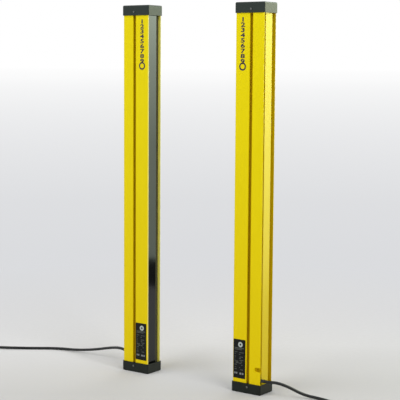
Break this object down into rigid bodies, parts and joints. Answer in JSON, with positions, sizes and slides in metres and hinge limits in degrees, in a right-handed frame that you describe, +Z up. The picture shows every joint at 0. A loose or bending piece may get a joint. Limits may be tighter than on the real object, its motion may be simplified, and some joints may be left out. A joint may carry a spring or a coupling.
{
  "type": "safety light curtain",
  "caption": "Upright emitter and receiver in slotted extruded housings with dark front windows, plastic end caps and a flying lead each, which guard the gap between them.",
  "frame": {"origin": "on the floor, midway between the two units, at the middle of their depth and width", "axes": "+X from the emitter to the receiver, along the beams; +Z up, along the housings; +Y completes the right-handed frame, across the housings"},
  "size_m": [1.2267, 0.1412, 0.82],
  "materials": {
    "yellow_housing": "powder-coated, satin",
    "window": "polished, dark",
    "cap": "fine-grained, satin",
    "seal": "matte",
    "fastener": "zinc-plated",
    "lens": "clear, polished",
    "carrier": "matte",
    "board": "satin",
    "diode": "polished",
    "component": "satin",
    "terminal": "satin",
    "lead": "satin",
    "strain_relief": "satin",
    "label": "satin",
    "cable": "satin",
    "tie": "woven"
  },
  "bodies": {
    "root": {"emitter_housing": "yellow_housing", "emitter_front_window": "window", "emitter_window_seal_left": "seal", "emitter_window_seal_right": "seal", "emitter_top_cap": "cap", "emitter_bottom_cap": "cap", "emitter_top_gasket": "seal", "emitter_bottom_gasket": "seal", "emitter_cap_screws": "fastener", "emitter_slot_nuts": "fastener", "emitter_lens_strip": "lens", "emitter_optics_carrier": "carrier", "emitter_circuit_board": "board", "emitter_beam_diodes": "diode", "emitter_control_board": "board", "emitter_board_link": "carrier", "emitter_control_components": "component", "emitter_lead_terminal": "terminal", "emitter_inner_leads": "lead", "emitter_strain_relief": "strain_relief", "emitter_label_plate": "label", "emitter_cable": "cable", "emitter_cable_coil": "cable", "emitter_coil_ties": "tie", "emitter_cable_cores": "lead", "receiver_housing": "yellow_housing", "receiver_front_window": "window", "receiver_window_seal_left": "seal", "receiver_window_seal_right": "seal", "receiver_top_cap": "cap", "receiver_bottom_cap": "cap", "receiver_top_gasket": "seal", "receiver_bottom_gasket": "seal", "receiver_cap_screws": "fastener", "receiver_slot_nuts": "fastener", "receiver_lens_strip": "lens", "receiver_optics_carrier": "carrier", "receiver_circuit_board": "board", "receiver_beam_diodes": "diode", "receiver_control_board": "board", "receiver_board_link": "carrier", "receiver_control_components": "component", "receiver_lead_terminal": "terminal", "receiver_inner_leads": "lead", "receiver_strain_relief": "strain_relief", "receiver_label_plate": "label", "receiver_cable": "cable", "receiver_cable_coil": "cable", "receiver_coil_ties": "tie", "receiver_cable_cores": "lead"}
  },
  "joints": []
}
